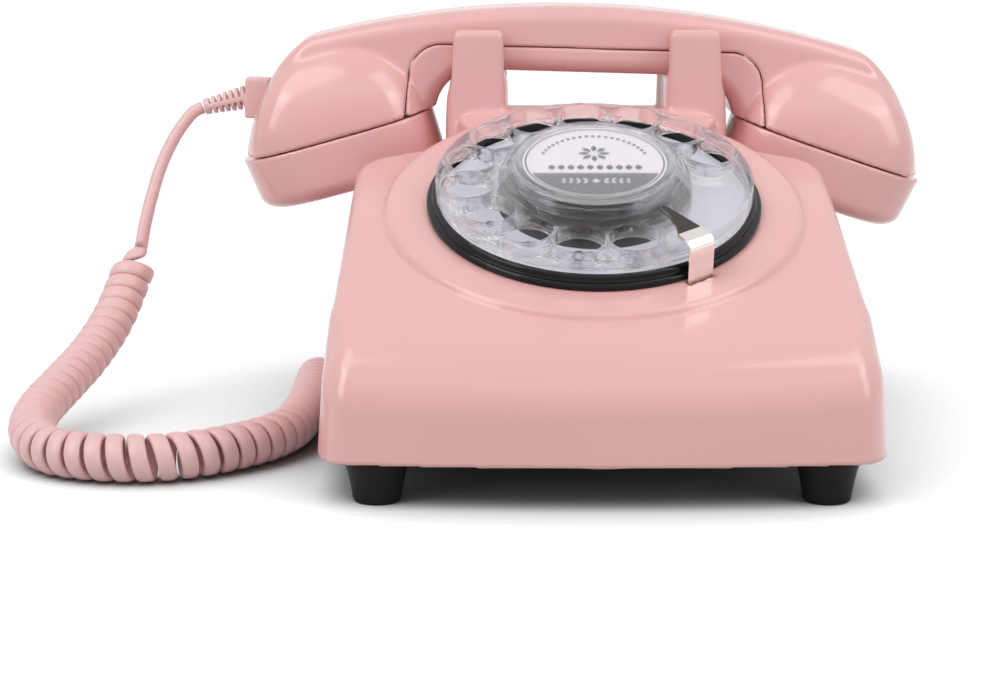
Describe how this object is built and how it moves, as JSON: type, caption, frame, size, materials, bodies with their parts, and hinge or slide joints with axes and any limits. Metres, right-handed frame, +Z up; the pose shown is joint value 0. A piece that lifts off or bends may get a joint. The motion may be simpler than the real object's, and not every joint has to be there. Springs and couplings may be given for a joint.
{
  "type": "rotary desk telephone",
  "caption": "Desk telephone with a wedge-shaped housing, clear rotary finger wheel, cradle prongs and a lift-off handset on a coiled cord.",
  "frame": {"origin": "centre of the object's footprint, on the surface that the feet stand on", "axes": "+X to the right, along the handset; +Y to the back; +Z up"},
  "size_m": [0.2822, 0.2132, 0.125],
  "materials": {
    "pink_plastic": "glossy moulded",
    "pink_cord": "satin flexible",
    "black_rubber": "matt",
    "black_plastic": "glossy",
    "steel": "zinc plated",
    "brass": "polished",
    "nickel": "polished nickel",
    "clear_plastic": "clear",
    "white_plastic": "satin",
    "printed_card": "printed",
    "board": "solder mask",
    "copper_winding": "enamelled wire"
  },
  "bodies": {
    "base": {"upper_housing": "pink_plastic", "base_plate": "steel", "foot_front_left": "black_rubber", "foot_front_right": "black_rubber", "foot_rear_left": "black_rubber", "foot_rear_right": "black_rubber", "base_screws": "steel", "dial_frame": "black_plastic", "dial_ring": "black_plastic", "number_plate": "white_plastic", "finger_stop": "nickel", "return_spring": "steel", "pulse_contacts": "brass", "circuit_board": "board", "ringer_frame": "steel", "ringer_coil": "copper_winding", "gong_left": "brass", "gong_right": "brass", "hook_bracket": "steel", "hook_switch": "black_plastic", "handset_jack": "black_plastic", "line_jack": "black_plastic", "cord_lead": "pink_cord", "cord_coil": "pink_cord", "cord_tail": "pink_cord", "cord_plug": "clear_plastic"},
    "dial_wheel": {"finger_wheel": "clear_plastic", "card_cover": "clear_plastic", "number_card": "printed_card", "dial_shaft": "steel", "hub_screw": "brass", "main_gear": "brass"},
    "governor_rotor": {"governor": "brass"},
    "clapper_arm": {"clapper": "steel"},
    "hook": {"hook_bar": "steel", "plunger_left": "pink_plastic", "plunger_right": "pink_plastic"},
    "handset": {"handset_outer_shell": "pink_plastic", "handset_inner_shell": "pink_plastic", "mouthpiece_cap": "pink_plastic", "earpiece_cap": "pink_plastic", "microphone_capsule": "black_plastic", "receiver_capsule": "steel", "handset_screws": "steel", "strain_relief": "pink_cord"}
  },
  "joints": [
    {"name": "dial_spin", "type": "hinge", "parent": "base", "child": "dial_wheel", "pos_m": [0, -0.01389, 0.06946], "axis": [0, -0.3616, 0.9323], "range_deg": [-330, 0], "stiffness_Nm_per_rad": 0.02, "springref_deg": 20.05},
    {"name": "governor_spin", "type": "hinge", "parent": "base", "child": "governor_rotor", "pos_m": [-0.02255, -0.02154, 0.06649], "axis": [0, -0.3616, 0.9323], "range_deg": [0, 1320]},
    {"name": "handset_lift", "type": "slide", "parent": "base", "child": "handset", "axis": [0, 0, 1], "range_m": [0, 0.08]},
    {"name": "hook_travel", "type": "slide", "parent": "base", "child": "hook", "axis": [0, 0, 1], "range_m": [0, 0.004]},
    {"name": "clapper_swing", "type": "hinge", "parent": "base", "child": "clapper_arm", "pos_m": [0, 0.043, 0.029], "axis": [0, 0, 1], "range_deg": [-6, 6]}
  ],
  "couplings": [
    {"joint": "governor_spin", "follows": "dial_spin", "ratio": -4},
    {"joint": "hook_travel", "follows": "handset_lift", "ratio": 0.05}
  ]
}
